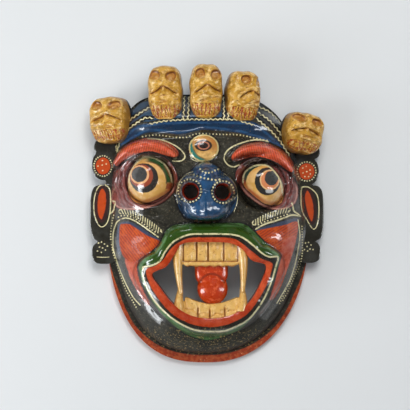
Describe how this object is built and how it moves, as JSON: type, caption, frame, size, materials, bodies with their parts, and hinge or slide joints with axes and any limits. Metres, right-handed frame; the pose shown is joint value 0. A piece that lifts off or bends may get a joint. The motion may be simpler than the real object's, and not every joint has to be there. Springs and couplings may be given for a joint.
{
  "type": "carved wooden mask",
  "caption": "Carved and painted wooden guardian mask with a crown of skulls, open fanged mouth, pierced nostrils and a hollow back.",
  "frame": {"origin": "middle of the mask's box, on the plane of its flat back rim", "axes": "+Z out of the face, +Y to the crown of skulls, +X to the right of somebody who looks at the face; the mask lies on its back rim"},
  "size_m": [0.2224, 0.2828, 0.0912],
  "materials": {
    "painted_wood": "oil paint in black, navy, orange red, green and cream under a glossy varnish, bare stained wood in the hollow"
  },
  "bodies": {
    "root": {"mask": "painted_wood"}
  },
  "joints": []
}
